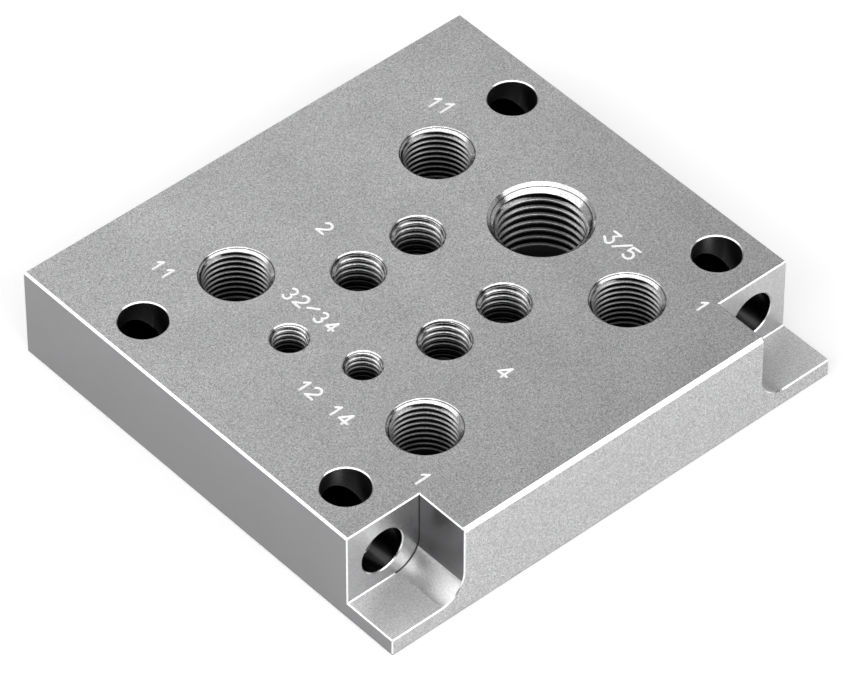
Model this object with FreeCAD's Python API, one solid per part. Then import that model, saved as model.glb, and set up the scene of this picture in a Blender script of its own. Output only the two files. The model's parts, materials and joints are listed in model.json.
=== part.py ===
import FreeCAD, Part
import math
import os
from collections import namedtuple

# Valve manifold plate: one aluminium block, milled all over, drilled and tapped.
# The origin is the middle of the underside. X runs along the front face, Y from the front face
# to the back face, and Z up to the ported top face. All sizes are in millimetres.

# Block
plate_width = 74.0
plate_length = 71.0
plate_height = 14.0

# Broken edges
front_edge_break = 0.5
top_edge_break = 0.28
fine_edge_break = 0.15

# Cap screws that hold the plate, either down through it or along it from the front
screw_clearance_hole = 6.6
screw_head_diameter = 10.0
screw_head_height = 6.0
screw_line_inset = 5.8
screw_row_spacing = 38.9

# Pockets at the front corners, which sink the heads of the screws that run along the plate
pocket_floor_height = 2.6
pocket_corner_radius = 4.0
head_side_clearance = 1.0
head_floor_clearance = 0.4
head_end_clearance = 2.4

# The middle of the port pattern, measured from the front face
pattern_from_front = 34.7

# Spacing of the ports: large ones at the corners, working ones in the middle, two pilot ports
corner_port_spacing_x = 34.0
corner_port_spacing_y = 36.2
working_port_spacing_x = 10.0
working_port_spacing_y = 16.5
exhaust_port_x = 18.8
pilot_exhaust_port_x = -19.45
pilot_supply_port_x = -15.7
pilot_port_spacing_y = 9.75

# Quarter inch pipe thread of the exhaust port
exhaust_thread_outer = 13.157
exhaust_thread_height = 0.856
exhaust_thread_depth = 11.5
exhaust_mouth_margin = 0.47
exhaust_passage = 7.0

# Eighth inch pipe thread of the supply ports
supply_thread_outer = 9.728
supply_thread_height = 0.581
supply_thread_depth = 9.5
supply_mouth_margin = 0.14
supply_passage = 5.0

# Metric thread of the working ports
working_thread_outer = 7.0
working_thread_height = 0.5
working_thread_depth = 7.5
working_mouth_margin = 0.19
working_passage = 3.5

# Metric thread of the pilot ports
pilot_thread_outer = 5.0
pilot_thread_height = 0.4
pilot_thread_depth = 6.0
pilot_mouth_margin = 0.2
pilot_passage = 2.0

drill_point_angle = 118.0
overshoot = 0.1

# Worked out from the sizes above
front_y = -plate_length / 2
back_y = plate_length / 2
side_x = plate_width / 2
pattern_y = front_y + pattern_from_front
screw_x = side_x - screw_line_inset
pocket_width = screw_line_inset + screw_head_diameter / 2 + head_side_clearance
pocket_depth = screw_head_height + head_end_clearance
pocket_x = side_x - pocket_width
pocket_y = front_y + pocket_depth
screw_z = pocket_floor_height + head_floor_clearance + screw_head_diameter / 2

# core is the drilled radius that the thread's crests keep, mouth the radius of the countersink's rim
Thread = namedtuple("Thread", "core mouth depth passage")
exhaust_thread = Thread(
    core=exhaust_thread_outer / 2 - exhaust_thread_height,
    mouth=exhaust_thread_outer / 2 + exhaust_mouth_margin,
    depth=exhaust_thread_depth,
    passage=exhaust_passage / 2,
)
supply_thread = Thread(
    core=supply_thread_outer / 2 - supply_thread_height,
    mouth=supply_thread_outer / 2 + supply_mouth_margin,
    depth=supply_thread_depth,
    passage=supply_passage / 2,
)
working_thread = Thread(
    core=working_thread_outer / 2 - working_thread_height,
    mouth=working_thread_outer / 2 + working_mouth_margin,
    depth=working_thread_depth,
    passage=working_passage / 2,
)
pilot_thread = Thread(
    core=pilot_thread_outer / 2 - pilot_thread_height,
    mouth=pilot_thread_outer / 2 + pilot_mouth_margin,
    depth=pilot_thread_depth,
    passage=pilot_passage / 2,
)


def mirrored_grid(spacing_x, spacing_y):
    """The four corners of a rectangle about the middle of the port pattern."""
    return [
        (side * spacing_x / 2, pattern_y + row * spacing_y / 2)
        for side in (-1, 1)
        for row in (-1, 1)
    ]


def port_places():
    """Every threaded port as its thread and its place on the top face."""
    places = [(exhaust_thread, exhaust_port_x, pattern_y)]
    for x, y in mirrored_grid(corner_port_spacing_x, corner_port_spacing_y):
        places.append((supply_thread, x, y))
    for x, y in mirrored_grid(working_port_spacing_x, working_port_spacing_y):
        places.append((working_thread, x, y))
    places.append((pilot_thread, pilot_exhaust_port_x, pattern_y + pilot_port_spacing_y / 2))
    places.append((pilot_thread, pilot_supply_port_x, pattern_y - pilot_port_spacing_y / 2))
    return places


def turned(profile, axis):
    """A solid of revolution about an axis through the origin, from (radius, distance along it) points."""
    radial = FreeCAD.Vector(1, 0, 0)
    points = [radial * radius + axis * along for radius, along in profile]
    face = Part.Face(Part.makePolygon(points + points[:1]))
    return face.revolve(FreeCAD.Vector(0, 0, 0), axis, 360)


def underside_mouth(radius):
    """The lower end of an upright hole, with its rim broken at the underside."""
    return [
        (radius, fine_edge_break),
        (radius + fine_edge_break + overshoot, -overshoot),
        (0, -overshoot),
    ]


def port_cutter(port, x, y):
    """Countersunk mouth, tapping bore, drill point and the plain passage to the underside."""
    bore_end = plate_height - port.depth
    point_height = (port.core - port.passage) / math.tan(math.radians(drill_point_angle / 2))
    profile = [
        (0, plate_height + overshoot),
        (port.mouth + overshoot, plate_height + overshoot),
        (port.core, plate_height - (port.mouth - port.core)),
        (port.core, bore_end),
        (port.passage, bore_end - point_height),
    ]
    cutter = turned(profile + underside_mouth(port.passage), FreeCAD.Vector(0, 0, 1))
    return cutter.translated(FreeCAD.Vector(x, y, 0))


def upright_screw_cutter(x, y):
    """A plain hole right through the plate, with both rims broken."""
    radius = screw_clearance_hole / 2
    profile = [
        (0, plate_height + overshoot),
        (radius + fine_edge_break + overshoot, plate_height + overshoot),
        (radius, plate_height - fine_edge_break),
    ]
    cutter = turned(profile + underside_mouth(radius), FreeCAD.Vector(0, 0, 1))
    return cutter.translated(FreeCAD.Vector(x, y, 0))


def long_screw_cutter(x):
    """The plain hole that runs from a pocket to the back face, with both rims broken."""
    radius = screw_clearance_hole / 2
    wide = radius + fine_edge_break + overshoot
    profile = [
        (0, pocket_y - overshoot),
        (wide, pocket_y - overshoot),
        (radius, pocket_y + fine_edge_break),
        (radius, back_y - fine_edge_break),
        (wide, back_y + overshoot),
        (0, back_y + overshoot),
    ]
    return turned(profile, FreeCAD.Vector(0, 1, 0)).translated(FreeCAD.Vector(x, 0, screw_z))


def pocket_cutter(side):
    """The corner pocket: open at the top, the front and one side, round where its floor meets its wall."""
    wall = side * pocket_x
    outside = side * (side_x + overshoot)
    floor = pocket_floor_height
    top = plate_height + overshoot
    centre = FreeCAD.Vector(wall + side * pocket_corner_radius, 0, floor + pocket_corner_radius)
    slant = pocket_corner_radius * math.sqrt(0.5)
    start = FreeCAD.Vector(wall, 0, centre.z)
    middle = centre + FreeCAD.Vector(-side * slant, 0, -slant)
    end = FreeCAD.Vector(centre.x, 0, floor)
    corners = [end, FreeCAD.Vector(outside, 0, floor), FreeCAD.Vector(outside, 0, top)]
    corners += [FreeCAD.Vector(wall, 0, top), start]
    lines = [Part.makeLine(a, b) for a, b in zip(corners, corners[1:])]
    outline = Part.Wire([Part.Arc(start, middle, end).toShape()] + lines)
    cutter = Part.Face(outline).extrude(FreeCAD.Vector(0, pocket_depth + overshoot, 0))
    cutter.translate(FreeCAD.Vector(0, front_y - overshoot, 0))
    return cutter


def near(a, b):
    return abs(a - b) < 1e-6


def is_convex(edge):
    """True for every edge of the pocketed block but the inner ones, where a pocket's faces meet."""
    box = edge.BoundBox
    in_pocket = abs(box.Center.x) > pocket_x - 1e-6 and box.Center.y < pocket_y + 1e-6
    on_outside = (
        near(box.ZMax, 0)
        or near(box.ZMin, plate_height)
        or near(box.YMax, front_y)
        or near(box.YMin, back_y)
        or near(box.XMin, side_x)
        or near(box.XMax, -side_x)
    )
    return on_outside or not in_pocket


def break_of(edge):
    """How far an edge is broken: most along the front of the top face, least off the top face's rim."""
    box = edge.BoundBox
    if near(box.ZMin, plate_height) and near(box.YMax, front_y):
        return front_edge_break
    on_rim = near(box.YMin, back_y) or near(box.XMin, side_x) or near(box.XMax, -side_x)
    if near(box.ZMin, plate_height) and on_rim:
        return top_edge_break
    return fine_edge_break


def pocketed_block():
    corner = FreeCAD.Vector(-side_x, front_y, 0)
    block = Part.makeBox(plate_width, plate_length, plate_height, corner)
    return block.cut([pocket_cutter(side) for side in (-1, 1)])


def with_broken_edges(block):
    """The block with each of its outer edges chamfered by its own amount."""
    document = FreeCAD.newDocument()
    base = document.addObject("Part::Feature")
    base.Shape = block
    chamfer = document.addObject("Part::Chamfer")
    chamfer.Base = base
    numbered = enumerate(block.Edges, 1)
    chamfer.Edges = [(i, break_of(e), break_of(e)) for i, e in numbered if is_convex(e)]
    document.recompute()
    return chamfer.Shape


def manifold_plate():
    cutters = [port_cutter(port, x, y) for port, x, y in port_places()]
    for x, y in mirrored_grid(2 * screw_x, screw_row_spacing):
        cutters.append(upright_screw_cutter(x, y))
    for x in (-screw_x, screw_x):
        cutters.append(long_screw_cutter(x))
    return with_broken_edges(pocketed_block()).cut(cutters).removeSplitter()


os.makedirs("parts", exist_ok=True)
plate = manifold_plate().Solids[0]
plate.exportStep("parts/manifold_plate.step")
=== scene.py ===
import json
import math
from collections import namedtuple

import bmesh
import bpy
from mathutils import Matrix, Vector


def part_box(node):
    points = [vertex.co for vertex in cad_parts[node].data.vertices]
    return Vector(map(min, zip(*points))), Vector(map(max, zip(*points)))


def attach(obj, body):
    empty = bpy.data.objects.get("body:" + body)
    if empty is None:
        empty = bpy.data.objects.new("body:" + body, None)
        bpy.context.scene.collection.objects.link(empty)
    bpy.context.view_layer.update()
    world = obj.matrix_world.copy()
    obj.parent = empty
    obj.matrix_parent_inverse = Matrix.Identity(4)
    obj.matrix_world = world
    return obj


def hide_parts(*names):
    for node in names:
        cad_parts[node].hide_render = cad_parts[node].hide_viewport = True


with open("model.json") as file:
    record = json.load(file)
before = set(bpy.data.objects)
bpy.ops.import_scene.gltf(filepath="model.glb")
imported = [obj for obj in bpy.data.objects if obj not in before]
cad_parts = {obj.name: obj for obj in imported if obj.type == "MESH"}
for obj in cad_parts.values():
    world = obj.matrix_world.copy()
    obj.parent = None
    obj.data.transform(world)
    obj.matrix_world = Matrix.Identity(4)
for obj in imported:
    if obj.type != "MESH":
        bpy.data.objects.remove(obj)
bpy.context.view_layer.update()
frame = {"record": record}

# The block, a piece of aluminium plate milled flat on all six faces. A round-nosed cutter has taken its two
# front corners down to a thin ledge, and every outer edge is broken, most of all the front edge on top.
# Meshes are drawn in millimetres, and the finished plate is brought to metres at the end.

millimetres = 1000.0
low, high = (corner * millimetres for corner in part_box("manifold_plate"))
mounts = {mount["name"]: mount for mount in frame["record"]["mounts"]}
screw_line = Vector(mounts["long_screws"]["pos_m"]) * millimetres

pocket_width = 11.8
pocket_floor = 2.6
pocket_curve = 4.0
pocket_curve_steps = 16
pocket_back = screw_line.y
pocket_wall = high.x - pocket_width
front_edge_break = 0.5
top_edge_break = 0.28
fine_edge_break = 0.15
underside_break = 0.05
inner_corner_round = 0.13
clear = 1.0
near = 0.01
cloud_size = 9.0
roughness_swing = 0.03


def grained_metal(name, colour, roughness, grain, depth, mottle):
    """Satin aluminium with slow cloudy changes of roughness.

    The grain has a size and a depth in millimetres, and mottle says how far it moves the tone.
    """
    material = bpy.data.materials.new(name)
    material.use_nodes = True
    nodes = material.node_tree.nodes
    links = material.node_tree.links
    shader = nodes["Principled BSDF"]
    shader.inputs["Metallic"].default_value = 1.0
    place = nodes.new("ShaderNodeTexCoord")

    fine = nodes.new("ShaderNodeTexNoise")
    fine.inputs["Scale"].default_value = millimetres / grain
    fine.inputs["Detail"].default_value = 2.0
    links.new(place.outputs["Object"], fine.inputs["Vector"])
    cloud = nodes.new("ShaderNodeTexNoise")
    cloud.inputs["Scale"].default_value = millimetres / cloud_size
    cloud.inputs["Detail"].default_value = 3.0
    links.new(place.outputs["Object"], cloud.inputs["Vector"])

    tone = nodes.new("ShaderNodeMapRange")
    tone.inputs["From Min"].default_value = 0.25
    tone.inputs["From Max"].default_value = 0.75
    tone.inputs["To Min"].default_value = 1.0 - mottle
    tone.inputs["To Max"].default_value = 1.0 + mottle
    links.new(fine.outputs["Fac"], tone.inputs["Value"])
    tint = nodes.new("ShaderNodeVectorMath")
    tint.operation = "SCALE"
    tint.inputs[0].default_value = colour
    links.new(tone.outputs["Result"], tint.inputs["Scale"])
    links.new(tint.outputs["Vector"], shader.inputs["Base Color"])

    rough = nodes.new("ShaderNodeMapRange")
    rough.inputs["From Min"].default_value = 0.3
    rough.inputs["From Max"].default_value = 0.7
    rough.inputs["To Min"].default_value = roughness - roughness_swing
    rough.inputs["To Max"].default_value = roughness + roughness_swing
    links.new(cloud.outputs["Fac"], rough.inputs["Value"])
    links.new(rough.outputs["Result"], shader.inputs["Roughness"])

    bump = nodes.new("ShaderNodeBump")
    bump.inputs["Distance"].default_value = depth / millimetres
    links.new(fine.outputs["Fac"], bump.inputs["Height"])
    links.new(bump.outputs["Normal"], shader.inputs["Normal"])
    return material


def skinned(name, rings, finishes):
    """A closed piece through rings of equally many points, with a finish for each band between two rings."""
    count = len(rings[0])
    points = [point for ring in rings for point in ring]
    bands = len(rings) - 1
    faces = [tuple(range(count))]
    faces.append(tuple(range(bands * count, bands * count + count)))
    finish_of = [0, bands - 1]
    for band in range(bands):
        for i in range(count):
            a = band * count + i
            b = band * count + (i + 1) % count
            faces.append((a, b, b + count, a + count))
            finish_of.append(band)
    return solid(name, points, faces, finish_of, finishes)


def solid(name, points, faces, finish_of, finishes):
    """A closed piece with its faces turned outward. finish_of picks the finish of each face."""
    mesh = bpy.data.meshes.new(name)
    mesh.from_pydata(points, [], faces)
    kinds = list(dict.fromkeys(finishes))
    for kind in kinds:
        mesh.materials.append(kind)
    slots = [kinds.index(finishes[n]) for n in finish_of]
    mesh.polygons.foreach_set("material_index", slots)
    shape = bmesh.new()
    shape.from_mesh(mesh)
    bmesh.ops.recalc_face_normals(shape, faces=shape.faces)
    shape.to_mesh(mesh)
    shape.free()
    piece = bpy.data.objects.new(name, mesh)
    bpy.context.scene.collection.objects.link(piece)
    return piece


def settle(piece):
    """Make what the modifiers do part of the mesh."""
    bpy.context.view_layer.update()
    graph = bpy.context.evaluated_depsgraph_get()
    piece.data = bpy.data.meshes.new_from_object(piece.evaluated_get(graph))
    piece.modifiers.clear()


def cut(piece, cutters):
    """Take the cutters, which don't touch each other, out of the piece."""
    tool = cutters[0]
    if len(cutters) > 1:
        with bpy.context.temp_override(active_object=tool, selected_editable_objects=cutters):
            bpy.ops.object.join()
    step = piece.modifiers.new("cut", "BOOLEAN")
    step.operation = "DIFFERENCE"
    step.solver = "MANIFOLD"
    step.material_mode = "TRANSFER"
    step.object = tool
    settle(piece)
    bpy.data.objects.remove(tool)


# The real plate is one metal. These tones are fitted face by face to what the photograph shows, so part of
# each is light or shade that the lamps don't give, and not a finish that the real plate is known to have
ported_face = grained_metal("ported_face", (0.495, 0.495, 0.5), 0.4, 0.15, 0.002, 0.57)
blasted_face = grained_metal("blasted_face", (0.52, 0.52, 0.525), 0.38, 0.15, 0.003, 0.55)
pocket_end = grained_metal("pocket_end", (0.52, 0.52, 0.525), 0.27, 0.2, 0.002, 0.15)
# The sides and the pockets' inner walls get less than half the front's tone: painted shade.
milled_side = grained_metal("milled_side", (0.25, 0.25, 0.255), 0.32, 0.3, 0.0015, 0.01)
pocket_side = grained_metal("pocket_side", (0.22, 0.22, 0.225), 0.3, 0.3, 0.0015, 0.01)
# The left pocket's curve gets a near-white tone: a painted highlight, which the right pocket's curve lacks.
highlit_curve = grained_metal("highlit_curve", (0.95, 0.95, 0.95), 0.4, 0.2, 0.004, 0.2)
# The pocket floors keep a scoured grain, and their lighter, half-metallic tone is painted light.
scoured_floor = grained_metal("scoured_floor", (0.74, 0.74, 0.745), 0.42, 0.17, 0.004, 0.3)
scoured_floor.node_tree.nodes["Principled BSDF"].inputs["Metallic"].default_value = 0.45
dark_corner = grained_metal("dark_corner", (0.04, 0.04, 0.04), 0.3, 0.3, 0.0015, 0.01)
# The broken edges get nearly twice the faces' tone: a painted highlight along them.
broken_edge = grained_metal("broken_edge", (0.92, 0.92, 0.92), 0.28, 0.3, 0.002, 0.02)

outline = [(low.x, low.y), (high.x, low.y), (high.x, high.y), (low.x, high.y)]
plate = skinned(
    "manifold_plate_machined",
    [[(x, y, z) for x, y in outline] for z in (low.z, high.z)],
    [milled_side],
)


def pocket_cutter(side):
    """The room that the corner pocket takes: open above, in front and to one side."""
    outside = side * (high.x + clear)
    section = [(outside, high.z + clear), (side * pocket_wall, high.z + clear)]
    for step in range(pocket_curve_steps + 1):
        turn = math.radians(90 * step / pocket_curve_steps)
        across = pocket_wall + pocket_curve * (1 - math.cos(turn))
        section.append((side * across, pocket_floor + pocket_curve * (1 - math.sin(turn))))
    section.append((outside, pocket_floor))
    rings = [[(x, y, z) for x, z in section] for y in (low.y - clear, pocket_back)]
    return skinned("pocket", rings, [pocket_side])


cut(plate, [pocket_cutter(-1), pocket_cutter(1)])

least_edge_angle = math.radians(30)


def edge_break(edge):
    """How far an edge is broken, or how wide the round is that the cutter leaves in an inner corner."""
    if edge.calc_face_angle() < least_edge_angle:
        return 0.0
    middle = (edge.verts[0].co + edge.verts[1].co) / 2
    if not edge.is_convex:
        return inner_corner_round
    if middle.z > high.z - near:
        if middle.y < low.y + near:
            return front_edge_break
        if middle.y > high.y - near or abs(middle.x) > high.x - near:
            return top_edge_break
    return fine_edge_break


shape = bmesh.new()
shape.from_mesh(plate.data)
bmesh.ops.dissolve_limit(shape, angle_limit=math.radians(1), verts=shape.verts, edges=shape.edges)
weight = shape.edges.layers.float.new("bevel_weight_edge")
for edge in shape.edges:
    edge[weight] = edge_break(edge) / front_edge_break
shape.to_mesh(plate.data)
shape.free()

# The faces take their finishes before the edges are broken. The curve of the left pocket is drawn brighter
# than that of the right one, which only follows the photograph: both are cut alike
square_on = 0.9
slanting = 0.4
barely = 0.1
for finish in (ported_face, blasted_face, pocket_end, highlit_curve, scoured_floor, broken_edge, dark_corner):
    if finish.name not in plate.data.materials:
        plate.data.materials.append(finish)
slot_of = {finish.name: n for n, finish in enumerate(plate.data.materials)}
for face in plate.data.polygons:
    if face.normal.z > square_on and face.center.z > high.z - near:
        face.material_index = slot_of["ported_face"]
    elif face.normal.y < -square_on:
        at_front = face.center.y < low.y + near
        face.material_index = slot_of["blasted_face" if at_front else "pocket_end"]
    elif face.normal.z > slanting and face.center.z < pocket_floor + pocket_curve:
        # The left pocket's curve takes the painted highlight
        on_left_curve = -square_on < face.normal.x < -barely
        face.material_index = slot_of["highlit_curve" if on_left_curve else "scoured_floor"]

breaks = plate.modifiers.new("broken edges", "BEVEL")
breaks.limit_method = "WEIGHT"
breaks.width = front_edge_break
breaks.segments = 1
breaks.material = slot_of["broken_edge"]
breaks.use_clamp_overlap = False
settle(plate)

# The breaks that face right or down, and the small round at the back of each pocket, are drawn almost black.
# That stands in for the shade on them in the photograph, and is no finish of their own
break_reach = 0.5
almost_square = 0.95
for face in plate.data.polygons:
    centre = face.center
    normal = face.normal
    at_back = abs(centre.y - pocket_back) < break_reach and barely < abs(normal.y) < almost_square
    inside = abs(centre.x) < pocket_wall + pocket_curve and centre.z < high.z - break_reach
    on_curve = pocket_floor < centre.z < pocket_floor + pocket_curve
    is_break = face.material_index == slot_of["broken_edge"]
    turned_away = (normal.x > slanting and not on_curve) or normal.z < -barely
    if (at_back and inside) or (is_break and turned_away):
        face.material_index = slot_of["dark_corner"]

# Round the underside the break is steeper
underside_reach = 0.2
for vertex in plate.data.vertices:
    if vertex.co.z < low.z + near:
        for axis, side in enumerate(high.xy):
            if abs(vertex.co[axis]) > side - underside_reach:
                vertex.co[axis] = math.copysign(side - underside_break, vertex.co[axis])

# The screw holes. Six plain clearance holes for M6 screws, drilled right through: four upright ones, and two
# long ones that run from the pockets to the back face and cross them. Their rims are lightly countersunk.

# The upright bores' walls get less than half the faces' tone, and the long bores' walls are near black:
# painted shade inside the holes.
bore_wall = grained_metal("bore_wall", (0.22, 0.22, 0.225), 0.3, 0.2, 0.003, 0.2)
long_bore_wall = grained_metal("long_bore_wall", (0.05, 0.05, 0.05), 0.25, 0.3, 0.003, 0.05)
ring_points = 64


def circle(radius, along, points=ring_points, first=0.0):
    """A ring about Z, at a place along it. first is the direction of its first point."""
    turns = [first + 2 * math.pi * n / points for n in range(points)]
    return [(radius * math.cos(t), radius * math.sin(t), along) for t in turns]


def plain_hole(radius, near_end, far_end, wall):
    """The room of a drilled hole about Z, with a broken rim at either end."""
    wide = radius + fine_edge_break + clear
    rings = [
        circle(wide, near_end - clear),
        circle(radius, near_end + fine_edge_break),
        circle(radius, far_end - fine_edge_break),
        circle(wide, far_end + clear),
    ]
    return skinned("screw_hole", rings, [broken_edge, wall, broken_edge])


upright = mounts["upright_screws"]
upright_middle = Vector(upright["pos_m"]) * millimetres
screw_hole = upright["dims"]["hole_r_mm"]
cutters = []
for side in (-1, 1):
    for row in (-1, 1):
        hole = plain_hole(screw_hole, low.z, high.z, bore_wall)
        x = upright_middle.x + side * upright["dims"]["spacing_x_mm"] / 2
        y = upright_middle.y + row * upright["dims"]["spacing_y_mm"] / 2
        hole.data.transform(Matrix.Translation((x, y, 0)))
        cutters.append(hole)
cut(plate, cutters)

cutters = []
along_the_plate = Matrix.Rotation(math.radians(90), 4, "X")
for side in (-1, 1):
    hole = plain_hole(screw_hole, -high.y, -pocket_back, long_bore_wall)
    x = side * mounts["long_screws"]["dims"]["spacing_x_mm"] / 2
    hole.data.transform(Matrix.Translation((x, 0, screw_line.z)) @ along_the_plate)
    cutters.append(hole)
cut(plate, cutters)

# The port numbers, plain numbers beside the ports, read from the left side of the plate. They are shallow
# round-bottomed strokes, as a small ball-ended cutter leaves them. The photograph shows them white, so they
# are drawn matt white here, whether that is bright bare metal or a filling.

stroke_radius = 0.22
stroke_depth = 0.1
stroke_section_points = 12
stroke_end_slopes = (30, 60, 80)
bright_stroke = grained_metal("bright_stroke", (1.0, 1.0, 1.0), 0.6, 0.2, 0.004, 0.02)
bright_stroke.node_tree.nodes["Principled BSDF"].inputs["Metallic"].default_value = 0.0


def bow(x, y, radius, start, end, points=9):
    """Points along an arc, from one angle to another in degrees."""
    turns = [math.radians(start + (end - start) * n / (points - 1)) for n in range(points)]
    return [(x + radius * math.cos(t), y + radius * math.sin(t)) for t in turns]


# Each number as its strokes, one millimetre high, with x to the right of its middle and y above its foot
number_strokes = {
    "1": [[(-0.28, 0.7), (0.0, 1.0)], [(0.0, 1.0), (0.02, 0.0)]],
    "2": [bow(0, 0.69, 0.31, 155, -35) + [(-0.33, 0)], [(-0.33, 0), (0.33, 0)]],
    "3": [bow(-0.03, 0.74, 0.26, 140, -80) + bow(-0.03, 0.24, 0.27, 65, -145)[1:]],
    "flat 3": [
        [(-0.32, 0.98), (0.25, 1.0)],
        [(0.25, 1.0), (-0.03, 0.62)] + bow(-0.03, 0.25, 0.3, 60, -80, 7),
        [(0.02, -0.05), (-0.4, 0.24)],
    ],
    "4": [[(0.1, 1.0), (-0.38, 0.27)], [(-0.38, 0.24), (0.37, 0.26)], [(0.1, 1.0), (0.12, 0.0)]],
    "5": [
        [(0.34, 0.99), (-0.24, 0.95)],
        [(-0.24, 0.95), (-0.25, 0.52)],
        [(-0.25, 0.52)] + bow(0.02, 0.26, 0.34, 100, -140),
    ],
    "/": [[(-0.38, 0), (0.38, 1.0)]],
    "short /": [[(-0.65, 0), (0.65, 1.0)]],
}

# Each number with the middle of its foot on the top face and its height. The heads point to the right
numbers = [
    ("1", -24.34, 25.0, 1.82), ("1", -24.34, 23.05, 1.82),
    ("1", 22.05, 24.58, 2.1), ("1", 22.4, 22.76, 2.3),
    ("2", -4.0, 16.22, 2.0),
    ("3", -15.2, 10.0, 2.08), ("2", -14.95, 8.06, 1.98), ("short /", -14.22, 6.1, 0.95),
    ("3", -15.05, 4.16, 1.96), ("4", -14.95, 2.06, 1.75),
    ("1", -24.5, -3.68, 1.85), ("2", -24.45, -5.38, 2.02),
    ("1", -24.42, -9.55, 1.87), ("4", -24.5, -11.44, 2.05),
    ("4", -4.15, -18.38, 2.0),
    ("flat 3", 22.13, -9.32, 2.15), ("/", 22.18, -11.27, 1.95), ("5", 22.08, -12.95, 2.05),
    ("1", -24.38, -25.52, 2.25),
    ("1", 22.42, -26.08, 1.85),
]


def stroke_cutter(path):
    """The room that a ball-ended cutter takes along a path of (x, y) points."""
    height = high.z + stroke_radius - stroke_depth
    spine = [Vector((x, y, height)) for x, y in path]
    ahead = [(b - a).normalized() for a, b in zip(spine, spine[1:])]
    ahead = [ahead[0]] + [(a + b).normalized() for a, b in zip(ahead, ahead[1:])] + [ahead[-1]]
    stations = list(zip(spine, ahead, [1.0] * len(spine)))
    for slope in stroke_end_slopes:
        out = stroke_radius * math.sin(math.radians(slope))
        narrow = math.cos(math.radians(slope))
        stations.insert(0, (spine[0] - ahead[0] * out, ahead[0], narrow))
        stations.append((spine[-1] + ahead[-1] * out, ahead[-1], narrow))
    rings = []
    for centre, forward, share in stations:
        across = forward.cross(Vector((0, 0, 1)))
        turns = [math.radians(360 * n / stroke_section_points) for n in range(stroke_section_points)]
        radius = stroke_radius * share
        arms = [(radius * math.cos(t), radius * math.sin(t)) for t in turns]
        rings.append([centre + across * out + Vector((0, 0, up)) for out, up in arms])
    return skinned("stroke", rings, [bright_stroke] * (len(rings) - 1))


# The strokes of a number meet, so the first strokes of all the numbers are cut first, then the second ones
passes = {}
for number, x, y, size in numbers:
    for n, stroke in enumerate(number_strokes[number]):
        path = [(x + up * size, y - right * size) for right, up in stroke]
        passes.setdefault(n, []).append(stroke_cutter(path))
for cutters in passes.values():
    cut(plate, cutters)

# The ports, eleven tapped holes in four sizes. Each is drilled to the core of its thread, countersunk, and
# tapped down to a little above the bore's end. A smaller passage leads from the bore's cone to the underside.

# The bore below each thread, its passage and the thread's roots are near black: painted shade deep in the
# hole.
deep_bore = grained_metal("deep_bore", (0.025, 0.025, 0.025), 0.35, 0.3, 0.002, 0.1)
thread_root = grained_metal("thread_root", (0.03, 0.03, 0.03), 0.3, 0.2, 0.002, 0.1)
# The countersinks are smoother than the top face, and their lighter tone is painted light.
countersink = grained_metal("countersink", (0.6, 0.6, 0.605), 0.2, 0.17, 0.003, 0.35)

drill_point = math.radians(118 / 2)
unthreaded_end = 0.3
shaded_ring_reach = 0.04
fade_in_turns = 0.4
arc_points = 5
dull_from = 1.0
dull_to_cores = 1.6
dulling_power = 2.0


def duller_below(material, top, bottom, share):
    """Let a finish grow darker down a hole, to a share of its colour. It stands in for the shade there."""
    nodes = material.node_tree.nodes
    links = material.node_tree.links
    place = nodes["Texture Coordinate"]
    shader = nodes["Principled BSDF"]
    tint = shader.inputs["Base Color"].links[0].from_socket
    split = nodes.new("ShaderNodeSeparateXYZ")
    links.new(place.outputs["Object"], split.inputs["Vector"])
    fading = nodes.new("ShaderNodeMapRange")
    fading.inputs["From Min"].default_value = bottom / millimetres
    fading.inputs["From Max"].default_value = top / millimetres
    fading.inputs["To Min"].default_value = share
    fading.inputs["To Max"].default_value = 1.0
    links.new(split.outputs["Z"], fading.inputs["Value"])
    sinking = nodes.new("ShaderNodeMath")
    sinking.operation = "POWER"
    sinking.inputs[1].default_value = dulling_power
    links.new(fading.outputs["Result"], sinking.inputs[0])
    dull = nodes.new("ShaderNodeVectorMath")
    dull.operation = "SCALE"
    links.new(tint, dull.inputs[0])
    links.new(sinking.outputs[0], dull.inputs["Scale"])
    links.new(dull.outputs["Vector"], shader.inputs["Base Color"])


# mouth and passage are radii, half_angle is the thread's, and run_out is the direction about the port, in
# degrees, in which a crest comes up to the top face. deep_share is how much of its tone a thread keeps below,
# as painted shade. crest_tone paints a highlight on the crests, and flank_tone paints shade on the flanks
Tap = namedtuple(
    "Tap",
    "pitch height half_angle mouth passage run_out turn_points deep_share crest_tone flank_tone",
)
tap_of_core = {
    5.7225: Tap(
        pitch=1.337, height=0.856, half_angle=27.5, mouth=7.0485, passage=3.5, run_out=270,
        turn_points=120, deep_share=0.6, crest_tone=0.55, flank_tone=0.34,
    ),
    4.283: Tap(
        pitch=0.907, height=0.581, half_angle=27.5, mouth=5.004, passage=2.5, run_out=141,
        turn_points=84, deep_share=0.48, crest_tone=0.55, flank_tone=0.32,
    ),
    3.0: Tap(
        pitch=1.0, height=0.5, half_angle=30, mouth=3.69, passage=1.75, run_out=2,
        turn_points=72, deep_share=0.15, crest_tone=0.8, flank_tone=0.2,
    ),
    2.1: Tap(
        pitch=0.8, height=0.4, half_angle=30, mouth=2.7, passage=1.0, run_out=94,
        turn_points=56, deep_share=0.15, crest_tone=0.8, flank_tone=0.2,
    ),
}

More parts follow.
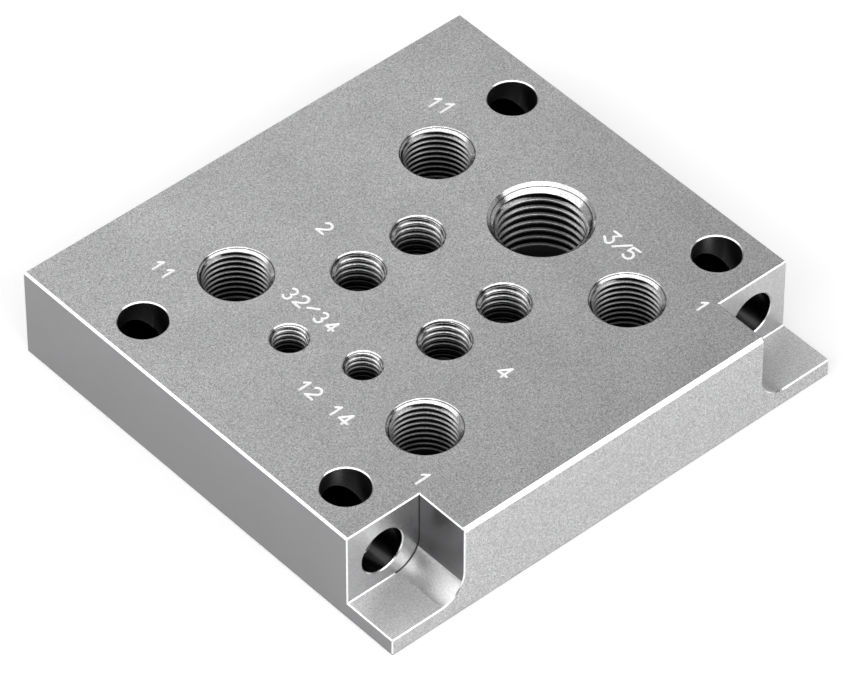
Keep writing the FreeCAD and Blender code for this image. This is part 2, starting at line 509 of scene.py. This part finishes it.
# A thread's finishes, and which of them each row of its faces has, from under one crest to under the next:
# dark under the crest, bright over it and just behind, grey on the rest of that flank, dark from the root on.
# The dark and grey rows are painted shade in the grooves, and the bright ones a painted highlight on the
# crests
on_crest, on_flank, in_root, in_bore, on_rim = range(5)
finish_of_row = [in_root] + [on_crest] * 4 + [on_flank] * 3 + [in_root] * 4
finishes_of_core = {}
for core, tap in tap_of_core.items():
    crest = grained_metal("thread_crest", [tap.crest_tone] * 3, 0.32, 0.2, 0.003, 0.4)
    flank = grained_metal("thread_flank", [tap.flank_tone] * 3, 0.15, 0.2, 0.002, 0.6)
    for finish in (crest, flank):
        duller_below(finish, high.z - dull_from, high.z - dull_to_cores * core, tap.deep_share)
    finishes_of_core[core] = [crest, flank, thread_root, deep_bore, broken_edge]


def groove_profile(core, tap):
    """The thread's section over one pitch as (radius, rise), with its crest and its root equally rounded."""
    pitch, height = tap.pitch, tap.height
    slope = math.radians(tap.half_angle)
    rounding = (pitch / (2 * math.tan(slope)) - height) * math.sin(slope) / (2 * (1 - math.sin(slope)))
    reach = 90 - tap.half_angle
    turns = [math.radians(reach * (n - 2) / 2) for n in range(arc_points)]
    crest = [(core + rounding * (1 - math.cos(t)), rounding * math.sin(t)) for t in turns]
    root = [(core + height - rounding * (1 - math.cos(t)), pitch / 2 + rounding * math.sin(t)) for t in turns]
    ends = list(zip(crest[-1], root[0]))
    flank = [tuple(a + (b - a) * share for a, b in ends) for share in (1 / 3, 2 / 3)]
    return crest + flank + root


def tapped_cutter(core, bore_end, tap):
    """The room of a tapped hole about Z: the helical thread, the drilled bore below it and the passage."""
    pitch, passage, turn_points = tap.pitch, tap.passage, tap.turn_points
    profile = groove_profile(core, tap)
    across = len(profile)
    start = bore_end + unthreaded_end * pitch
    turns = math.ceil((high.z + clear - start) / pitch)
    steps = turns * turn_points
    fade = fade_in_turns * turn_points
    turned = math.radians(tap.run_out) - 2 * math.pi * (high.z - start) / pitch

    points = []
    for step in range(steps + turn_points + 1):
        angle = 2 * math.pi * step / turn_points + turned
        full = min(1.0, step / fade)
        rows = profile if step <= steps else profile[:1]
        for radius, rise in rows:
            r = core + (radius - core) * full
            z = start + pitch * step / turn_points + rise
            points.append((r * math.cos(angle), r * math.sin(angle), z))

    def at(step, row):
        if row == across:
            step, row = step + turn_points, 0
        if step > steps:
            return (steps + 1) * across + step - steps - 1
        return step * across + row

    faces = [
        (at(step, row), at(step + 1, row), at(step + 1, row + 1), at(step, row + 1))
        for step in range(steps)
        for row in range(across)
    ]
    plain_rows = [in_bore] * across * round(fade)
    finish_of = plain_rows + (finish_of_row * steps)[len(plain_rows):]

    top_rim = [at(steps, row) for row in range(across)]
    top_rim += [at(steps + n, 0) for n in range(turn_points, 0, -1)]
    centre = len(points)
    points.append((0, 0, start + pitch * (turns + 1)))
    faces += [(a, b, centre) for a, b in zip(top_rim, top_rim[1:] + top_rim[:1])]
    finish_of += [on_crest] * len(top_rim)

    point_height = (core - passage) / math.tan(drill_point)
    rings = [
        circle(core, bore_end, turn_points, turned),
        circle(passage, bore_end - point_height, turn_points, turned),
        circle(passage, low.z + fine_edge_break, turn_points, turned),
        circle(passage + fine_edge_break + clear, low.z - clear, turn_points, turned),
    ]
    first = len(points)
    points += [point for ring in rings for point in ring]
    for n in range(turn_points - 1):
        faces.append((at(n, 0), at(n + 1, 0), first + n + 1, first + n))
    step_edge = [at(0, row) for row in range(across, -1, -1)]
    faces.append(tuple([at(turn_points - 1, 0)] + step_edge + [first, first + turn_points - 1]))
    finish_of += [in_bore] * turn_points
    for band in range(len(rings) - 1):
        for n in range(turn_points):
            a = first + band * turn_points + n
            b = first + band * turn_points + (n + 1) % turn_points
            faces.append((a, b, b + turn_points, a + turn_points))
            finish_of.append(on_rim if band == 2 else in_bore)
    last = first + (len(rings) - 1) * turn_points
    faces.append(tuple(range(last, last + turn_points)))
    finish_of.append(on_rim)
    return solid("tapped_hole", points, faces, finish_of, finishes_of_core[core])


countersinks = []
tapped_holes = []
for mount in mounts.values():
    if mount["kind"] != "threaded_hole":
        continue
    place = Vector(mount["pos_m"]) * millimetres
    core = mount["dims"]["r_mm"]
    tap = tap_of_core[core]
    bore_end = place.z - mount["dims"]["length_mm"] / 2
    inner = core / 2
    major = core + tap.height
    # A thin ring on each cone, at the thread's outer radius, takes the near-black root tone: painted shade
    # where the thread starts.
    reaches = [tap.mouth + clear, major + shaded_ring_reach, major - shaded_ring_reach, inner]
    rings = [circle(reach, high.z - (tap.mouth - reach), tap.turn_points) for reach in reaches]
    cone = skinned("countersink", rings, [countersink, thread_root, countersink])
    cone.data.transform(Matrix.Translation((place.x, place.y, 0)))
    countersinks.append(cone)
    hole = tapped_cutter(core, bore_end, tap)
    hole.data.transform(Matrix.Translation((place.x, place.y, 0)))
    tapped_holes.append(hole)
cut(plate, countersinks)
cut(plate, tapped_holes)

# The finished plate. Its curves are shaded smooth and its broken edges flat, and then the whole mesh is
# brought to metres and takes the place of the plain solid.

sharpest_smooth = math.radians(40)
plate.data.polygons.foreach_set("use_smooth", [True] * len(plate.data.polygons))
plate.data.set_sharp_from_angle(angle=sharpest_smooth)
flat_finishes = ("broken_edge", "dark_corner")
flat_slots = [n for n, finish in enumerate(plate.data.materials) if finish.name in flat_finishes]
for face in plate.data.polygons:
    if face.material_index in flat_slots:
        face.use_smooth = False
plate.data.transform(Matrix.Scale(1 / millimetres, 4))
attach(plate, "root")
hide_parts("manifold_plate")

# The camera. A long lens looks down on the plate from above its front left corner, from a little under a
# metre away, aimed near the middle of the block.

camera_azimuth = math.radians(-41.41)
camera_elevation = math.radians(44.65)
camera_aim = Vector((0.00124, 0.00172, 0.00214))
camera_distance = 0.884
towards = Vector((
    math.sin(camera_azimuth) * math.cos(camera_elevation),
    -math.cos(camera_azimuth) * math.cos(camera_elevation),
    math.sin(camera_elevation),
))
camera_data = bpy.data.cameras.new("camera")
camera_data.sensor_width = 36.0
camera_data.lens = 292.3
camera_data.clip_start = 0.01
camera = bpy.data.objects.new("camera", camera_data)
camera.location = camera_aim + towards * camera_distance
camera.rotation_euler = towards.to_track_quat("Z", "Y").to_euler()
bpy.context.scene.collection.objects.link(camera)
bpy.context.scene.camera = camera

# The studio: a plain pale floor under the plate, a faint even surround, and eight soft lamps about it. The
# floor looks white to the camera and in the metal, and keeps the plate's shadow.

floor_size = 3.0
floor_tone = 0.9
floor_roughness = 0.9
floor_glow = 0.33
floor_mesh = bpy.data.meshes.new("floor")
reach = floor_size / 2
corners = [(-reach, -reach, 0), (reach, -reach, 0), (reach, reach, 0), (-reach, reach, 0)]
floor_mesh.from_pydata(corners, [], [(0, 1, 2, 3)])
floor = bpy.data.objects.new("floor", floor_mesh)
bpy.context.scene.collection.objects.link(floor)
paper = bpy.data.materials.new("paper")
paper.use_nodes = True
nodes = paper.node_tree.nodes
links = paper.node_tree.links
shader = nodes["Principled BSDF"]
shader.inputs["Base Color"].default_value = (floor_tone, floor_tone, floor_tone, 1)
shader.inputs["Roughness"].default_value = floor_roughness
shader.inputs["Emission Color"].default_value = (1, 1, 1, 1)
rays = nodes.new("ShaderNodeLightPath")
seen = nodes.new("ShaderNodeMath")
seen.operation = "MAXIMUM"
links.new(rays.outputs["Is Camera Ray"], seen.inputs[0])
links.new(rays.outputs["Is Glossy Ray"], seen.inputs[1])
seen_through = nodes.new("ShaderNodeMath")
seen_through.operation = "MAXIMUM"
links.new(seen.outputs[0], seen_through.inputs[0])
links.new(rays.outputs["Is Transmission Ray"], seen_through.inputs[1])
glow = nodes.new("ShaderNodeMath")
glow.operation = "MULTIPLY"
glow.inputs[1].default_value = floor_glow
links.new(seen_through.outputs[0], glow.inputs[0])
links.new(glow.outputs[0], shader.inputs["Emission Strength"])
floor_mesh.materials.append(paper)

surround_strength = 0.03
world = bpy.data.worlds.new("surround")
bpy.context.scene.world = world
world.use_nodes = True
surround = world.node_tree.nodes["Background"]
surround.inputs["Color"].default_value = (1, 1, 1, 1)
surround.inputs["Strength"].default_value = surround_strength

lamp_aim = Vector((0, 0, 0.01))
lamp_distance = 0.5


def soft_lamp(name, azimuth, elevation, width, height, brightness):
    """A rectangular lamp turned to the plate. brightness is how its face looks, where 1 is white."""
    light = bpy.data.lights.new(name, "AREA")
    light.shape = "RECTANGLE"
    light.size = width
    light.size_y = height
    light.energy = 4 * width * height * brightness
    lamp = bpy.data.objects.new(name, light)
    a = math.radians(azimuth)
    e = math.radians(elevation)
    outward = Vector((math.sin(a) * math.cos(e), -math.cos(a) * math.cos(e), math.sin(e)))
    lamp.location = lamp_aim + outward * lamp_distance
    lamp.rotation_euler = outward.to_track_quat("Z", "Y").to_euler()
    lamp.visible_camera = False
    bpy.context.scene.collection.objects.link(lamp)


soft_lamp("front_lamp", 9, 30, 0.56, 0.4, 1.65)
soft_lamp("left_lamp", 257, 29, 0.66, 0.42, 1.35)
soft_lamp("camera_side_lamp", 314, 46, 0.36, 0.22, 1.6)
soft_lamp("left_high_lamp", 213, 57, 0.28, 0.26, 1.1)
soft_lamp("right_high_lamp", 60, 56, 0.25, 0.25, 1.0)
soft_lamp("back_lamp", 158, 42, 0.45, 0.32, 0.9)
soft_lamp("right_low_lamp", 76, 18, 0.3, 0.3, 0.35)
soft_lamp("left_low_lamp", 202, 18, 0.3, 0.3, 0.35)

bpy.context.scene.view_settings.view_transform = "Standard"
